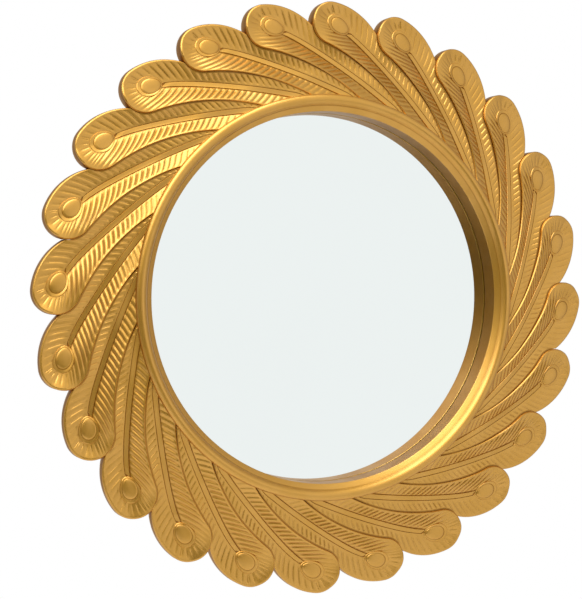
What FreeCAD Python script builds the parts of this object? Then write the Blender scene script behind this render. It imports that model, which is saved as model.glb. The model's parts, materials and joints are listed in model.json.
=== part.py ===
"""Round wall mirror framed by a swirl of overlapping peacock feathers.

Millimetres, +X to the viewer's right, +Z up, and the mirror looks along -Y. The origin is the centre of the
flat back that lies on the wall, so a depth is the distance from the wall and runs along -Y.
"""
import FreeCAD
import Part

import math
import os

from FreeCAD import Placement, Rotation, Vector

# Glass opening
SIGHT_RADIUS = 187.4          # inside of the ring, where the glass shows
SIGHT_DEPTH = 20.0            # from the ring's inner edge back to the glass

# Ring moulding round the glass
BAND_WIDTH = 5.9              # sloping band between the inner edge and the groove
BAND_RISE = 4.6
GROOVE_WIDTH = 0.6
GROOVE_DEPTH = 1.2
BEAD_RADIUS = 5.2

# Mirror glass and what lies behind it
GLASS_LAP = 4.6               # how far the ring covers the edge of the glass
GLASS_THICKNESS = 4.0
GLASS_CLEARANCE = 0.5
LINER_THICKNESS = 1.6
REBATE_DEPTH = 2.6            # part of the glass that sits inside the ring

# Swirl of feathers
FEATHER_COUNT = 24
FIRST_EYE_ANGLE = 177.0       # anticlockwise from +X to the first feather's eye, in degrees
FEATHER_REACH = 71.5          # from the ring out to the circle through all eyes
EYE_HEIGHT = 11.0             # middle of an eye in front of the feather's flat back
SHAFT_ANGLE = 43.0            # how far a feather's shaft leans in from the tangent
SEAM = 0.3                    # gap between a feather and its neighbours or the ring

# Outline of one feather: along runs from the eye towards the ring, across points outwards
NOSE_RADIUS = 22.0
NOSE_ALONG = -5.2
NOSE_ACROSS = -1.8
HIGH_EDGE_ANGLE = 18.0        # turn of the high edge from the shaft where it leaves the nose
HIGH_EDGE_BEND = 280.0        # radius of the high edge
LOW_EDGE_AIM_ALONG = 13.7     # point under the next feather, in that feather's frame, where the low edge goes
LOW_EDGE_AIM_ACROSS = -7.5
ROOT_LAP = 8.0                # how far the outline runs on inside the ring before it is cut there
ROOT_SPREAD_ANGLE = 24.0      # share of the ring that the uncut root spans

# Relief of one feather, slopes in degrees
VALLEY_ACROSS = 8.0
VALLEY_DEPTH = 5.0            # how far the valley lies below the eye
VALLEY_ANGLE = 7.7            # rise towards the ring
HIGH_VANE_ANGLE = 31.8
HIGH_VANE_WIDTH = 19.0
BRIM_ANGLE = 11.3             # flatter slope beyond the high vane, beside the nose
LOW_VANE_ANGLE = 5.7
SHAFT_WIDTH = 4.6
SHAFT_RAISE = 0.9
SHAFT_START = 13.0
EYE_HALF_LENGTH = 13.0
EYE_HALF_WIDTH = 10.5
EYE_RAISE = 1.2

# Carrier ring that everything is screwed to
CARRIER_SETBACK = 13.8        # from the circle of the eyes in to the carrier's rim
CARRIER_THICKNESS = 12.0

# Countersunk screws, driven in from behind
WOOD_SHANK_RADIUS = 1.75
WOOD_HEAD_RADIUS = 3.6
WOOD_HEAD_HEIGHT = 2.2
PLATE_SHANK_RADIUS = 1.5
PLATE_HEAD_RADIUS = 2.8
PLATE_HEAD_HEIGHT = 1.0
PLATE_SCREW_LENGTH = 8.0
SCREW_RIM = 0.2               # straight edge of a screw head
SCREW_SINK = 0.3              # how far a head lies below the back
SCREW_FIT = 0.1
FEATHER_SCREW_BITE = 8.0
OUTER_SCREW_SETBACK = 12.8    # from the carrier's rim
OUTER_SCREW_ANGLE = 5.1       # clockwise behind the eye
INNER_SCREW_OFFSET = 21.8     # from the ring
INNER_SCREW_ANGLE = 17.3
RING_SCREW_BITE = 9.0
RING_SCREW_COUNT = 8
RING_SCREW_ANGLE = 22.5       # place of the first one

# Turn buttons that keep the backing board in, each in a pocket that lets it swing clear
BUTTON_ANGLES = {"right": 0, "top": 90, "left": 180, "bottom": 270}
BUTTON_SETBACK = 13.5         # from the edge of the well to the pivot
BUTTON_REACH = 26.0           # from the pivot to the middle of the round tip
BUTTON_HALF_WIDTH = 6.0
BUTTON_THICKNESS = 1.5
BUTTON_SWING_GAP = 1.5        # room between a button and the walls of its pocket
PIVOT_RADIUS = 2.0
PIVOT_FIT = 0.3
PIVOT_BITE = 7.0
PIVOT_HEAD_RADIUS = 3.8
PIVOT_HEAD_HEIGHT = 1.2
PIVOT_HEAD_GAP = 0.1
PIVOT_HEAD_SINK = 0.2

# Keyhole plates for two wall screws
HANGER_ANGLES = {"right": 60, "left": 120}
HANGER_WIDTH = 16.0
HANGER_LENGTH = 48.0
HANGER_THICKNESS = 1.5
HANGER_FIT = 0.2
KEYHOLE_RADIUS = 5.0
KEYHOLE_MARGIN = 4.2          # metal between the keyhole and a screw head
SLOT_RADIUS = 2.25
CAVITY_MARGIN = 1.0           # room for a wall screw's head round the keyhole
CAVITY_DEPTH = 6.0
PLATE_SCREW_INSET = 5.0       # from the end of the plate

# Depths from the wall that follow from the stack
CARRIER_FRONT = CARRIER_THICKNESS
GLASS_FRONT = CARRIER_FRONT + REBATE_DEPTH
GLASS_BACK = GLASS_FRONT - GLASS_THICKNESS
BOARD_FRONT = GLASS_BACK - LINER_THICKNESS
EYE_DEPTH = CARRIER_FRONT + EYE_HEIGHT
BAND_FRONT = GLASS_FRONT + SIGHT_DEPTH
BUTTON_BACK = PIVOT_HEAD_SINK + PIVOT_HEAD_HEIGHT + PIVOT_HEAD_GAP
BUTTON_FLOOR = BUTTON_BACK + BUTTON_THICKNESS
HANGER_FLOOR = HANGER_FIT + HANGER_THICKNESS

# Radii that follow from the opening outwards
GLASS_RADIUS = SIGHT_RADIUS + GLASS_LAP
WELL_RADIUS = GLASS_RADIUS + GLASS_CLEARANCE
RING_RADIUS = SIGHT_RADIUS + BAND_WIDTH + GROOVE_WIDTH + 2 * BEAD_RADIUS
RING_SCREW_CIRCLE = (WELL_RADIUS + RING_RADIUS) / 2
BUTTON_CIRCLE = WELL_RADIUS + BUTTON_SETBACK
EYE_CIRCLE = RING_RADIUS + FEATHER_REACH
CARRIER_RADIUS = EYE_CIRCLE - CARRIER_SETBACK
HANGER_CIRCLE = (WELL_RADIUS + CARRIER_RADIUS) / 2
SWING_RADIUS = BUTTON_REACH + BUTTON_HALF_WIDTH + BUTTON_SWING_GAP

# Places along a keyhole plate, from its middle
PLATE_SCREW_PLACE = HANGER_LENGTH / 2 - PLATE_SCREW_INSET
KEYHOLE_REACH = PLATE_SCREW_PLACE - PLATE_HEAD_RADIUS - KEYHOLE_MARGIN
ENTRY_PLACE = KEYHOLE_RADIUS - KEYHOLE_REACH
SLOT_PLACE = KEYHOLE_REACH - SLOT_RADIUS

FEATHER_PITCH = 360.0 / FEATHER_COUNT
WOOD_SCREW = (WOOD_SHANK_RADIUS, WOOD_HEAD_RADIUS, WOOD_HEAD_HEIGHT)
PLATE_SCREW = (PLATE_SHANK_RADIUS, PLATE_HEAD_RADIUS, PLATE_HEAD_HEIGHT)

ORIGIN = Vector(0, 0, 0)
FORWARD = Vector(0, -1, 0)
AXIS = Vector(0, 1, 0)
UP = Vector(0, 0, 1)


def spot(radius, angle):
    """Point on the back at a radius and an angle about the mirror's centre."""
    turn = math.radians(angle)
    return Vector(radius * math.cos(turn), 0, radius * math.sin(turn))


def rod(radius, back, front, at=ORIGIN):
    """Cylinder that runs forward between two depths."""
    return Part.makeCylinder(radius, front - back, at + FORWARD * back, FORWARD)


def block(at, half_width, low, high, back, front):
    """Box round an upright line through a point on the back."""
    corner = Vector(at.x - half_width, -front, at.z + low)
    return Part.makeBox(2 * half_width, front - back, high - low, corner)


def turned(corners, at=ORIGIN):
    """Solid of revolution from a closed outline of radius and depth pairs."""
    points = [Vector(radius, -depth, 0) for radius, depth in corners]
    face = Part.Face(Part.makePolygon(points + points[:1]))
    return face.revolve(ORIGIN, AXIS, 360).translated(at)


def sunk_screw(size, at, length, mouth=SCREW_SINK, fit=0.0):
    """Pointed countersunk screw, or the hole for one when it is given a fit and a mouth at the back."""
    shank, head, height = size
    shank += fit
    head += fit
    rim = SCREW_SINK + SCREW_RIM
    tip = SCREW_SINK + length + fit
    outline = [(0, mouth), (head, mouth), (head, rim), (shank, rim + height), (shank, tip - shank), (0, tip)]
    return turned(outline, at)


def sunk_hole(size, at, length):
    return sunk_screw(size, at, length, mouth=0.0, fit=SCREW_FIT)


def slope(angle):
    return math.tan(math.radians(angle))


def leaf_direction(angle):
    """Unit vector in a feather's plan, turned from along towards across."""
    turn = math.radians(angle)
    return Vector(math.cos(turn), math.sin(turn), 0)


NOSE_CENTRE = Vector(NOSE_ALONG, NOSE_ACROSS, 0)
MIRROR_CENTRE = leaf_direction(SHAFT_ANGLE - 90) * EYE_CIRCLE   # as seen from a feather's eye


def turned_on(point, angle):
    """Point of a feather's plan after a clockwise turn about the mirror's centre."""
    return Rotation(UP, -angle).multVec(point - MIRROR_CENTRE) + MIRROR_CENTRE


def high_edge():
    """Arc from the nose to a place inside the ring."""
    start = NOSE_CENTRE + leaf_direction(HIGH_EDGE_ANGLE - 90) * NOSE_RADIUS
    centre = start + leaf_direction(HIGH_EDGE_ANGLE - 90) * HIGH_EDGE_BEND
    inside = RING_RADIUS - ROOT_LAP
    base = MIRROR_CENTRE - centre
    share = (HIGH_EDGE_BEND ** 2 - inside ** 2 + base.Length ** 2) / (2 * base.Length)
    rise = math.sqrt(HIGH_EDGE_BEND ** 2 - share ** 2)
    base.normalize()
    end = centre + base * share + Vector(-base.y, base.x, 0) * rise
    middle = (start + end) / 2 - centre
    return start, centre + middle.normalize() * HIGH_EDGE_BEND, end


def feather_plan():
    """Whole outline of one feather, before its neighbour and the ring cut it short."""
    start, middle, root_high = high_edge()
    low_end = turned_on(Vector(LOW_EDGE_AIM_ALONG, LOW_EDGE_AIM_ACROSS, 0), FEATHER_PITCH)
    sight = low_end - NOSE_CENTRE
    turn = math.degrees(math.atan2(sight.y, sight.x) + math.acos(NOSE_RADIUS / sight.Length))
    low_start = NOSE_CENTRE + leaf_direction(turn) * NOSE_RADIUS
    root_low = turned_on(root_high, ROOT_SPREAD_ANGLE)
    nose_tip = NOSE_CENTRE - Vector(NOSE_RADIUS, 0, 0)
    nose = Part.Arc(low_start, nose_tip, start).toShape()
    high = Part.Arc(start, middle, root_high).toShape()
    root = Part.makePolygon([root_high, root_low, low_end, low_start])
    return Part.Face(Part.Wire([nose, high] + root.Edges))


def along_valley(outline, start, end):
    """Solid with this outline across the feather, running along the valley as it rises to the ring."""
    rise = slope(VALLEY_ANGLE)
    points = [Vector(start, VALLEY_ACROSS + across, height + rise * start - VALLEY_DEPTH)
              for across, height in outline]
    face = Part.Face(Part.makePolygon(points + points[:1]))
    return face.extrude(Vector(1, 0, rise) * (end - start))


def eye_boss():
    """Raised oval that lies on the slope of the high vane."""
    facing = Vector(-slope(VALLEY_ANGLE), slope(HIGH_VANE_ANGLE), 1)
    root = EYE_HEIGHT / 2
    oval = Part.Face(Part.Wire(Part.Ellipse(ORIGIN, EYE_HALF_LENGTH, EYE_HALF_WIDTH).toShape()))
    boss = oval.translated(UP * -root).extrude(UP * (EYE_RAISE + root))
    boss.Placement = Placement(ORIGIN, Rotation(UP, facing))
    return boss


def make_feather():
    """One feather in its own frame: along, across, and height above its eye, which is the origin."""
    plan = feather_plan()
    neighbour = plan.copy()
    neighbour.rotate(MIRROR_CENTRE, UP, -FEATHER_PITCH)
    height = UP * (EYE_HEIGHT + FEATHER_REACH)
    back = UP * -EYE_HEIGHT
    cover = neighbour.makeOffset2D(SEAM).translated(back).extrude(height)
    ring_room = Part.makeCylinder(RING_RADIUS + SEAM, height.Length, MIRROR_CENTRE + back)
    blank = plan.translated(back).extrude(height).cut([cover, ring_room])
    span = EYE_CIRCLE
    vane = HIGH_VANE_WIDTH * slope(HIGH_VANE_ANGLE)
    brim = vane + (span - HIGH_VANE_WIDTH) * slope(BRIM_ANGLE)
    trough = along_valley([(0, 0), (span, span * slope(LOW_VANE_ANGLE)), (span, span), (-span, span),
                           (-span, brim), (-HIGH_VANE_WIDTH, vane)], -span, span)
    inner = SHAFT_WIDTH * slope(HIGH_VANE_ANGLE)
    shaft = along_valley([(0, -SHAFT_RAISE), (0, SHAFT_RAISE), (-SHAFT_WIDTH, inner + SHAFT_RAISE),
                          (-SHAFT_WIDTH, inner - SHAFT_RAISE)], SHAFT_START, span)
    feather = blank.cut(trough).fuse([shaft.common(blank), eye_boss()])
    return max(feather.removeSplitter().Solids, key=lambda solid: solid.Volume)


def feather_frame(number):
    """Placement of one feather, counted clockwise from the first as the viewer sees it."""
    lean = math.radians(SHAFT_ANGLE)
    along = Vector(math.cos(lean), 0, -math.sin(lean))
    across = Vector(math.sin(lean), 0, math.cos(lean))
    upright = Placement(Vector(0, -EYE_DEPTH, EYE_CIRCLE), Rotation(along, across, FORWARD, "XYZ"))
    turn = Rotation(AXIS, FEATHER_PITCH * number + 90 - FIRST_EYE_ANGLE)
    return Placement(ORIGIN, turn).multiply(upright)


def feather_screw_spots(number):
    """Places of a feather's two screws on the back."""
    eye = FIRST_EYE_ANGLE - FEATHER_PITCH * number
    return [spot(CARRIER_RADIUS - OUTER_SCREW_SETBACK, eye - OUTER_SCREW_ANGLE),
            spot(RING_RADIUS + INNER_SCREW_OFFSET, eye - INNER_SCREW_ANGLE)]


def make_ring():
    """Turned ring: rebate for the glass, tall inner wall, sloping band, groove and rounded bead."""
    bead_middle = RING_RADIUS - BEAD_RADIUS
    bead_inner = bead_middle - BEAD_RADIUS
    bead_base = BAND_FRONT + BAND_RISE
    corners = [(bead_inner, bead_base), (bead_inner, bead_base - GROOVE_DEPTH),
               (bead_inner - GROOVE_WIDTH, bead_base), (SIGHT_RADIUS, BAND_FRONT),
               (SIGHT_RADIUS, GLASS_FRONT), (WELL_RADIUS, GLASS_FRONT), (WELL_RADIUS, CARRIER_FRONT),
               (RING_RADIUS, CARRIER_FRONT), (RING_RADIUS, bead_base)]
    points = [Vector(radius, -depth, 0) for radius, depth in corners]
    bead_top = Vector(bead_middle, -bead_base - BEAD_RADIUS, 0)
    bead = Part.Arc(points[-1], bead_top, points[0]).toShape()
    face = Part.Face(Part.Wire(Part.makePolygon(points).Edges + [bead]))
    return face.revolve(ORIGIN, AXIS, 360)


def button_outline(at, angle, radius, reach, back, front):
    """Round-ended bar from a pivot towards the mirror's centre."""
    tip = at - spot(reach, angle)
    side = spot(radius, angle + 90)
    corners = [at + side, tip + side, tip - side, at - side, at + side]
    bar = Part.Face(Part.makePolygon(corners)).extrude(FORWARD * (front - back))
    bar.translate(FORWARD * back)
    return bar.fuse([rod(radius, back, front, at), rod(radius, back, front, tip)]).removeSplitter()


def swing_pocket(at, angle):
    """Half round pocket in which a button can swing a quarter turn to either side."""
    sweep = rod(SWING_RADIUS, 0, BUTTON_FLOOR, at)
    room = BUTTON_HALF_WIDTH + BUTTON_SWING_GAP
    wall = at + spot(room, angle)
    side = spot(SWING_RADIUS, angle + 90)
    depth = spot(SWING_RADIUS + room, angle)
    corners = [wall + side, wall - side, wall - side - depth, wall + side - depth, wall + side]
    half = Part.Face(Part.makePolygon(corners)).extrude(FORWARD * BUTTON_FLOOR)
    return sweep.common(half)


def keyhole(at, margin, back, front):
    """Round entry hole with a narrow slot above it, widened by a margin."""
    entry = at + UP * ENTRY_PLACE
    top = at + UP * SLOT_PLACE
    slot = SLOT_RADIUS + margin
    channel = block(at, slot, ENTRY_PLACE, SLOT_PLACE, back, front)
    return rod(KEYHOLE_RADIUS + margin, back, front, entry).fuse([channel, rod(slot, back, front, top)])


def save(name, shape):
    shape.exportStep(os.path.join("parts", name + ".step"))


def group(solids):
    return Part.makeCompound(solids)


def main():
    os.makedirs("parts", exist_ok=True)

    # Feathers with two screw holes each
    feather_length = CARRIER_FRONT - SCREW_SINK + FEATHER_SCREW_BITE
    feather_screws = []
    feather_holes = []
    feather = make_feather()
    for number in range(FEATHER_COUNT):
        placed = feather.copy()
        placed.Placement = feather_frame(number)
        spots = feather_screw_spots(number)
        holes = [sunk_hole(WOOD_SCREW, at, feather_length) for at in spots]
        save("feather_%02d" % (number + 1), placed.cut(holes))
        feather_screws += [sunk_screw(WOOD_SCREW, at, feather_length) for at in spots]
        feather_holes += holes
    save("feather_screws", group(feather_screws))

    # Ring moulding
    ring_length = CARRIER_FRONT - SCREW_SINK + RING_SCREW_BITE
    ring_step = 360.0 / RING_SCREW_COUNT
    ring_spots = [spot(RING_SCREW_CIRCLE, RING_SCREW_ANGLE + ring_step * n) for n in range(RING_SCREW_COUNT)]
    ring_holes = [sunk_hole(WOOD_SCREW, at, ring_length) for at in ring_spots]
    save("ring_moulding", make_ring().cut(ring_holes))
    save("ring_screws", group([sunk_screw(WOOD_SCREW, at, ring_length) for at in ring_spots]))

    # Glass, liner and backing board
    pivots = {name: spot(BUTTON_CIRCLE, angle) for name, angle in BUTTON_ANGLES.items()}
    pockets = [swing_pocket(pivots[name], angle) for name, angle in BUTTON_ANGLES.items()]
    save("mirror_glass", rod(GLASS_RADIUS, GLASS_BACK, GLASS_FRONT))
    save("felt_liner", rod(GLASS_RADIUS, BOARD_FRONT, GLASS_BACK))
    save("backing_board", rod(GLASS_RADIUS, 0, BOARD_FRONT).cut(pockets))

    # Turn buttons on their pivot screws
    pivot_screws = []
    pivot_holes = []
    head_front = PIVOT_HEAD_SINK + PIVOT_HEAD_HEIGHT
    pivot_end = BUTTON_FLOOR + PIVOT_BITE
    for name, angle in BUTTON_ANGLES.items():
        at = pivots[name]
        bar = button_outline(at, angle, BUTTON_HALF_WIDTH, BUTTON_REACH, BUTTON_BACK, BUTTON_FLOOR)
        save("turn_button_" + name, bar.cut(rod(PIVOT_RADIUS + PIVOT_FIT, 0, CARRIER_FRONT, at)))
        head = rod(PIVOT_HEAD_RADIUS, PIVOT_HEAD_SINK, head_front, at)
        pivot_screws.append(head.fuse(rod(PIVOT_RADIUS, head_front, pivot_end, at)))
        pivot_holes.append(rod(PIVOT_RADIUS + SCREW_FIT, 0, pivot_end + SCREW_FIT, at))
    save("turn_button_screws", group(pivot_screws))

    # Keyhole plates let into the back
    plate_screws = []
    plate_holes = []
    recesses = []
    for name, angle in HANGER_ANGLES.items():
        at = spot(HANGER_CIRCLE, angle)
        half = HANGER_LENGTH / 2
        ends = [at + UP * PLATE_SCREW_PLACE, at - UP * PLATE_SCREW_PLACE]
        holes = [sunk_hole(PLATE_SCREW, end, PLATE_SCREW_LENGTH) for end in ends]
        plate = block(at, HANGER_WIDTH / 2, -half, half, HANGER_FIT, HANGER_FLOOR)
        save("keyhole_plate_" + name, plate.cut([keyhole(at, 0, 0, HANGER_FLOOR)] + holes))
        plate_screws += [sunk_screw(PLATE_SCREW, end, PLATE_SCREW_LENGTH) for end in ends]
        plate_holes += holes
        room = half + HANGER_FIT
        recesses.append(block(at, HANGER_WIDTH / 2 + HANGER_FIT, -room, room, 0, HANGER_FLOOR))
        recesses.append(keyhole(at, CAVITY_MARGIN, 0, HANGER_FLOOR + CAVITY_DEPTH))
    save("keyhole_plate_screws", group(plate_screws))

    # Carrier ring
    carrier = rod(CARRIER_RADIUS, 0, CARRIER_FRONT).cut(rod(WELL_RADIUS, 0, CARRIER_FRONT))
    holes = feather_holes + ring_holes + pivot_holes + plate_holes
    save("carrier_ring", carrier.cut(holes + pockets + recesses))


main()
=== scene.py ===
import json
import math

import bpy
import numpy as np
from bpy.props import FloatProperty, FloatVectorProperty, IntProperty, PointerProperty
from mathutils import Matrix, Vector

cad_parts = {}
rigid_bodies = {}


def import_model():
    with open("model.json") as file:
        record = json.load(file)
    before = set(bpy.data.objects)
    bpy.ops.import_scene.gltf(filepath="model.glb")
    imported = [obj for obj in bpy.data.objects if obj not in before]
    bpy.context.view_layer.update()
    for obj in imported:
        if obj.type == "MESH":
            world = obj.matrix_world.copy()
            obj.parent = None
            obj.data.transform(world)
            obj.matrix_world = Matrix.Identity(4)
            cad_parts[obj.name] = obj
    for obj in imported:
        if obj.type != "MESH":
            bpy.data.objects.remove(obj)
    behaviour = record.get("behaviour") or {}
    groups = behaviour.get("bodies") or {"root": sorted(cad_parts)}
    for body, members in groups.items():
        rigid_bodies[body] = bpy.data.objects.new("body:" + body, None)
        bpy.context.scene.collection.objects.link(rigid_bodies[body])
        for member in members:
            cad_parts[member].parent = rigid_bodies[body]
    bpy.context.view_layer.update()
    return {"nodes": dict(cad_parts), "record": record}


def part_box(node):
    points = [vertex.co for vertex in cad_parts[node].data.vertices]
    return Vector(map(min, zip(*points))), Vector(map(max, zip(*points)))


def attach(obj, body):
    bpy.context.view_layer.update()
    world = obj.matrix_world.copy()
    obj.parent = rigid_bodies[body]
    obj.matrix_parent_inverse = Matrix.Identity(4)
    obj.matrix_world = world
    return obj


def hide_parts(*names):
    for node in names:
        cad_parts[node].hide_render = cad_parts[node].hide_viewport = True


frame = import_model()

bl_info = {
    "name": "Feather Mirror",
    "version": (1, 0, 0),
    "blender": (4, 5, 0),
    "location": "3D View > Sidebar > Feather Mirror",
    "description": "Dresses a round wall mirror with carved feathers, a turned ring and its back fittings",
    "category": "Object",
}

BODY = "frame"
FEATHERS = sorted(name for name in frame["nodes"]
                  if name.startswith("feather") and name[-2:].isdigit())
BUTTON_BODIES = {nodes[0]: body for body, nodes in frame["record"]["behaviour"]["bodies"].items()
                 if len(nodes) == 1}
GLASS_LOW, GLASS_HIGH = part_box("mirror_glass")
TO_METRES = Matrix.Scale(0.001, 4)


# Sizes and colours that a user would change

class FeatherSizes(bpy.types.PropertyGroup):
    """Carving of one feather, in millimetres"""
    barb_pitch: FloatProperty(
        name="Barb pitch", description="Distance between deep cuts along the shaft",
        default=6.15, min=2.0, max=12.0)
    barb_depth: FloatProperty(
        name="Barb depth", description="Depth of the cuts on the steep vane", default=1.1, min=0.1, max=3.0)
    fine_pitch: FloatProperty(
        name="Fine barb pitch", description="Distance between cuts on the flat vane",
        default=6.2, min=2.0, max=12.0)
    fine_depth: FloatProperty(
        name="Fine barb depth", description="Depth of the cuts on the flat vane",
        default=0.65, min=0.1, max=2.0)
    rim_width: FloatProperty(
        name="Rim width", description="Smooth border inside the edge", default=2.3, min=1.0, max=6.0)
    roll: FloatProperty(name="Roll", description="Drop of the rounded edge", default=1.9, min=0.0, max=5.0)
    shaft_width: FloatProperty(
        name="Shaft width", description="Width of the smooth shaft", default=4.8, min=2.0, max=8.0)
    shaft_lift: FloatProperty(
        name="Shaft lift", description="Height of the shaft above the vane", default=0.5, min=0.0, max=2.0)
    line_depth: FloatProperty(
        name="Line depth", description="Depth of the engraved lines along the shaft",
        default=0.45, min=0.05, max=1.0)
    rows_per_barb: IntProperty(
        name="Rows per barb", description="Fineness of the carving", default=10, min=4, max=16)


class RingSizes(bpy.types.PropertyGroup):
    """Turned ring round the glass, and the glass behind it"""
    steps: IntProperty(name="Steps", description="Divisions round the ring", default=240, min=48, max=480)
    seam: FloatProperty(
        name="Seam", description="Depth of the silvering behind the foot of the ring's wall",
        default=0.0012, min=0.0, max=0.004, unit="LENGTH")


COLOUR = {"subtype": "COLOR", "size": 3, "min": 0.0, "max": 1.0}


class FinishColours(bpy.types.PropertyGroup):
    """Colours of the finishes"""
    gold: FloatVectorProperty(
        name="Gold", description="Gold lacquer", default=(0.625, 0.318, 0.028), **COLOUR)
    # Painted shade: browner gold laid into cuts, creases and the feet of walls where shade falls. It also
    # gives the flat back its own browner tone.
    gold_painted_shade_and_back: FloatVectorProperty(
        name="Gold for painted shade", description="Browner gold painted into the cuts as shade, also the back's own tone",
        default=(0.27, 0.10, 0.004), **COLOUR)
    silver: FloatVectorProperty(
        name="Silvering", description="Tint of the mirror", default=(0.84, 0.885, 0.875), **COLOUR)
    board: FloatVectorProperty(
        name="Board", description="Fibreboard of the back", default=(0.36, 0.23, 0.13), **COLOUR)
    zinc: FloatVectorProperty(
        name="Zinc", description="Plated steel fittings", default=(0.62, 0.61, 0.58), **COLOUR)
    felt_dark: FloatVectorProperty(
        name="Felt", description="Felt between its tufts", default=(0.17, 0.17, 0.17), **COLOUR)
    felt_pale: FloatVectorProperty(
        name="Felt tufts", description="Felt on its tufts", default=(0.34, 0.34, 0.33), **COLOUR)


class StageSizes(bpy.types.PropertyGroup):
    """Camera, lamp, floor and surroundings"""
    lens: FloatProperty(
        name="Lens", description="Focal length in millimetres",
        default=94.6, min=10.0, max=300.0, unit="CAMERA")
    floor_drop: FloatProperty(
        name="Floor drop", description="Floor below the mirror's centre",
        default=0.9, min=0.3, max=2.0, unit="LENGTH")
    key_power: FloatProperty(
        name="Key power", description="Soft box above the viewer's left shoulder",
        default=52.0, min=0.0, max=200.0, unit="POWER")
    world_level: FloatProperty(
        name="World level", description="Light from all round", default=0.75, min=0.0, max=2.0)
    side_level: FloatProperty(
        name="Side level", description="Brightness of the studio's sides in reflections",
        default=0.55, min=0.0, max=1.0)


# Materials

# Painted shade: browner gold laid into cuts, creases, engraved lines and the feet of walls where shade falls.
# The same attribute also holds the flat back's own browner tone.
PAINTED_SHADE_AND_BACK_TONE = "painted_shade_and_back_tone"  # attribute of the carved pieces, up to 1 in the depth of a cut


def arithmetic(operation, swapped=False):
    """Method of a wire that adds a Math node"""
    def method(self, other):
        first, second = (other, self) if swapped else (self, other)
        return self.finish.add("ShaderNodeMath", {"operation": operation}, {0: first, 1: second})
    return method


class Wire:
    """One output of a shader node, so that sums on it read as plain arithmetic"""

    def __init__(self, finish, socket):
        self.finish = finish
        self.socket = socket

    __add__, __radd__ = arithmetic("ADD"), arithmetic("ADD", swapped=True)
    __sub__, __rsub__ = arithmetic("SUBTRACT"), arithmetic("SUBTRACT", swapped=True)
    __mul__, __rmul__ = arithmetic("MULTIPLY"), arithmetic("MULTIPLY", swapped=True)


class Finish:
    """A shader tree that is being written"""

    def __init__(self, name):
        self.material = bpy.data.materials.new(name)
        self.material.use_nodes = True
        self.start(self.material.node_tree, "ShaderNodeOutputMaterial")

    @classmethod
    def on(cls, tree, output):
        """For a tree that belongs to something other than a material"""
        finish = cls.__new__(cls)
        finish.start(tree, output)
        return finish

    def start(self, tree, output):
        """Empties a tree and gives it its output node"""
        self.tree = tree
        self.tree.nodes.clear()
        self.out = self.tree.nodes.new(output)

    def add(self, kind, settings=None, inputs=None, output=0):
        """New node with its settings, then the values or links of its sockets"""
        node = self.tree.nodes.new(kind)
        for key, value in (settings or {}).items():
            setattr(node, key, value)
        for key, value in (inputs or {}).items():
            if isinstance(value, Wire):
                self.tree.links.new(value.socket, node.inputs[key])
            else:
                node.inputs[key].default_value = value
        return Wire(self, node.outputs[output])

    def objects(self):
        return self.add("ShaderNodeTexCoord", output="Object")

    def noise(self, where, scale, detail, roughness=0.55):
        return self.add("ShaderNodeTexNoise", None,
                        {"Vector": where, "Scale": scale, "Detail": detail, "Roughness": roughness})

    def band(self, value, low, high, to_low=0.0, to_high=1.0):
        """Value spread smoothly from one range to another"""
        return self.add("ShaderNodeMapRange", {"interpolation_type": "SMOOTHSTEP"},
                        {"Value": value, "From Min": low, "From Max": high,
                         "To Min": to_low, "To Max": to_high})

    def stretched(self, where, along_z):
        """Coordinates that shorten a pattern along the height"""
        return self.add("ShaderNodeMapping", None, {"Vector": where, "Scale": (1.0, 1.0, along_z)})

    def blend(self, factor, first, second):
        """Colour between two colours, by the colour sockets of a Mix node"""
        return self.add("ShaderNodeMix", {"data_type": "RGBA"}, {0: factor, 6: first, 7: second}, 2)

    def facing(self, way, other):
        """How far a direction points the same way as another"""
        return self.add("ShaderNodeVectorMath", {"operation": "DOT_PRODUCT"}, {0: way, 1: other}, "Value")

    def bump(self, height, distance, strength):
        return self.add("ShaderNodeBump", None,
                        {"Height": height, "Distance": distance, "Strength": strength})

    def surface(self, **inputs):
        shader = self.add("ShaderNodeBsdfPrincipled", None,
                          {key.replace("_", " "): value for key, value in inputs.items()})
        self.finish(shader)
        return self.material

    def finish(self, shader):
        self.tree.links.new(shader.socket, self.out.inputs["Surface"])


def toned(colour, factor=1.0):
    """A colour with its alpha, made paler or darker by a factor"""
    return (*[min(1.0, part * factor) for part in colour], 1.0)


def gold_lacquer(colours):
    """Satin gold lacquer over a cast body, rubbed a little brighter in patches, with painted shade in browner
    gold in the cuts, creases and at the feet of walls, and the flat back in its own browner tone
    """
    f = Finish("gold lacquer")
    where = f.objects()
    painted_shade_and_back_tone = f.add("ShaderNodeAttribute", {"attribute_name": PAINTED_SHADE_AND_BACK_TONE}, output="Fac")
    cloud = f.noise(where, 38.0, 4.0)
    flake = f.noise(where, 2600.0, 2.0, 0.7)
    body = f.blend(f.band(cloud, 0.3, 0.7, 0.0, 0.3), toned(colours.gold), toned(colours.gold, 0.86))
    # Painted shade: where the attribute marks cuts, creases and walls the gold turns browner, rougher and
    # less coated. On the flat back the same attribute gives the back's own browner tone.
    deep = f.band(painted_shade_and_back_tone + (cloud - 0.5) * 0.2, 0.15, 0.95)
    return f.surface(Base_Color=f.blend(deep, body, toned(colours.gold_painted_shade_and_back)), Metallic=1.0,
                     Roughness=0.42 + (cloud - 0.5) * 0.10 + deep * 0.12 + (flake - 0.5) * 0.08,
                     Normal=f.bump(flake * 0.6 + f.noise(where, 420.0, 3.0), 0.00006, 0.5),
                     Coat_Weight=f.band(cloud, 0.3, 0.7, 0.7, 0.55) * (1 - deep * 0.85),
                     Coat_Roughness=0.3, Coat_IOR=1.8)


def silvered_glass(colours):
    """Mirror with a faint haze of dust"""
    f = Finish("silvered glass")
    haze = f.band(f.noise(f.objects(), 5.0, 5.0), 0.45, 0.8)
    colour = f.blend(haze * 0.5, toned(colours.silver), toned(colours.silver, 0.985))
    return f.surface(Base_Color=colour, Metallic=1.0, Roughness=0.006 + haze * 0.012)


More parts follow.
